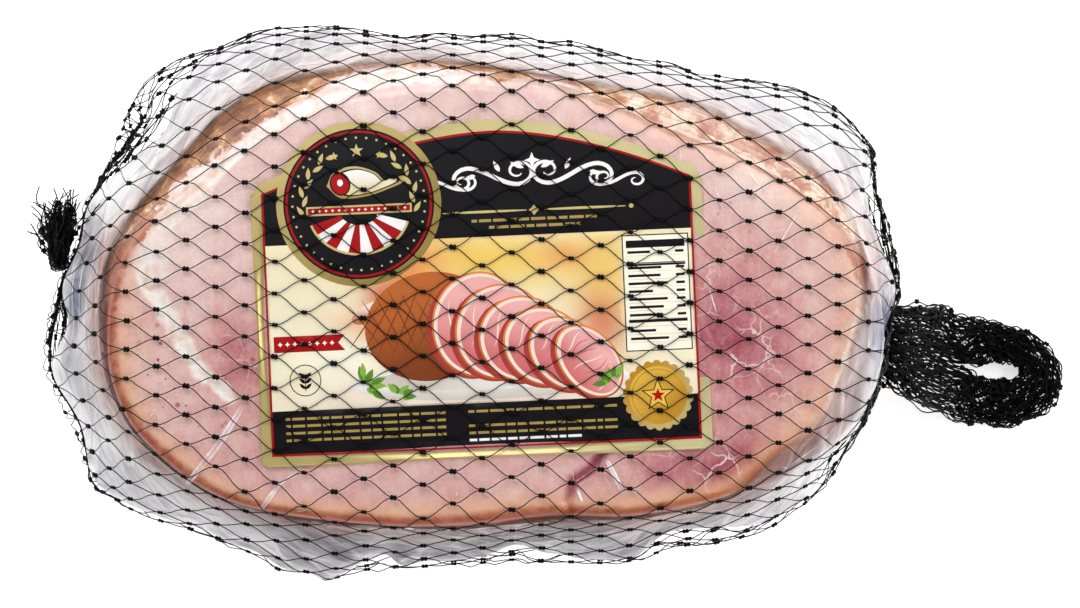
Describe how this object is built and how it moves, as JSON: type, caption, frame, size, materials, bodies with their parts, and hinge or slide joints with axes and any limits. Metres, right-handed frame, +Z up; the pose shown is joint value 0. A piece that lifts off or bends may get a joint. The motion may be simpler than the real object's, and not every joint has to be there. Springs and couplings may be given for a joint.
{
  "type": "spiral cut ham in film and net",
  "caption": "Half a spiral cut ham on the bone in a clear film bag with a printed sheet label, pulled into a black knotted net with a loop handle and a tied tuft.",
  "frame": {"origin": "centre of the bounding box, on the surface the pack lies on", "axes": "+X along the net to the loop handle, +Y across the cut face to the label's arched edge, +Z up out of the cut face"},
  "size_m": [0.3702, 0.195, 0.1309],
  "materials": {
    "ham_in_film": "pink cut meat with a white fat rim and brown rind, under clear wrinkled film",
    "label_sheet": "printed sheet with a satin varnish",
    "net": "black stretched plastic strand"
  },
  "bodies": {
    "root": {"ham_pack": "ham_in_film", "label": "label_sheet", "net_handle": "net", "net_tuft": "net"}
  },
  "joints": []
}
